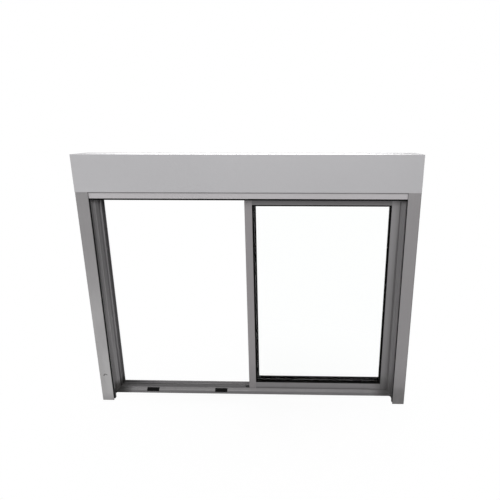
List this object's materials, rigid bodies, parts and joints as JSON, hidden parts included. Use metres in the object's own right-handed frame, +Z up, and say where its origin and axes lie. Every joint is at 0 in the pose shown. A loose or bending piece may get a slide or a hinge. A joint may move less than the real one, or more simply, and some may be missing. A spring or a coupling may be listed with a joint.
{
  "type": "two-track aluminium sliding window with roller-shutter box",
  "caption": "Aluminium sliding window for a wall opening, with roller-shutter box, shutter guides, drained two-track frame and double-glazed sashes, one side open.",
  "frame": {"origin": "middle of the flat underside of the sill", "axes": "+X to the right seen from outside, +Y inwards through the wall, +Z up"},
  "size_m": [1.5, 0.165, 1.2001],
  "materials": {
    "box_lacquer": "satin light grey lacquer",
    "shutter_slats": "satin light grey lacquer",
    "guide_aluminium": "matt silver anodised",
    "frame_aluminium": "matt silver anodised",
    "sash_aluminium": "matt silver anodised",
    "glass": "clear float glass",
    "gasket_rubber": "matt black",
    "black_spacer": "matt black",
    "brush_pile": "dark pile",
    "black_plastic": "moulded black",
    "roller_steel": "zinc-plated"
  },
  "bodies": {
    "root": {"box_front_panel": "box_lacquer", "box_back_panel": "box_lacquer", "box_top_panel": "box_lacquer", "box_bottom_panel": "box_lacquer", "box_end_left": "box_lacquer", "box_end_right": "box_lacquer", "guide_left": "guide_aluminium", "guide_right": "guide_aluminium", "guide_left_brushes": "brush_pile", "guide_right_brushes": "brush_pile", "frame_sill": "frame_aluminium", "sill_ledge": "frame_aluminium", "sill_rails": "frame_aluminium", "sill_walls": "frame_aluminium", "frame_head": "frame_aluminium", "frame_jamb_left": "frame_aluminium", "frame_jamb_right": "frame_aluminium", "shutter_tube": "roller_steel", "shutter_curtain": "shutter_slats", "shutter_end_slat": "shutter_slats", "shutter_seal": "gasket_rubber", "drain_cap_1": "black_plastic", "drain_cap_2": "black_plastic", "outer_sash_closing_stile": "sash_aluminium", "outer_sash_meeting_stile": "sash_aluminium", "outer_sash_top_rail": "sash_aluminium", "outer_sash_bottom_rail": "sash_aluminium", "outer_sash_front_pane": "glass", "outer_sash_back_pane": "glass", "outer_sash_glass_spacer": "black_spacer", "outer_sash_gasket": "gasket_rubber", "outer_sash_rollers": "black_plastic", "outer_sash_pile_strips": "brush_pile", "outer_sash_latch": "black_plastic", "inner_sash_closing_stile": "sash_aluminium", "inner_sash_meeting_stile": "sash_aluminium", "inner_sash_top_rail": "sash_aluminium", "inner_sash_bottom_rail": "sash_aluminium", "inner_sash_front_pane": "glass", "inner_sash_back_pane": "glass", "inner_sash_glass_spacer": "black_spacer", "inner_sash_gasket": "gasket_rubber", "inner_sash_rollers": "black_plastic", "inner_sash_pile_strips": "brush_pile", "inner_sash_latch": "black_plastic"}
  },
  "joints": []
}
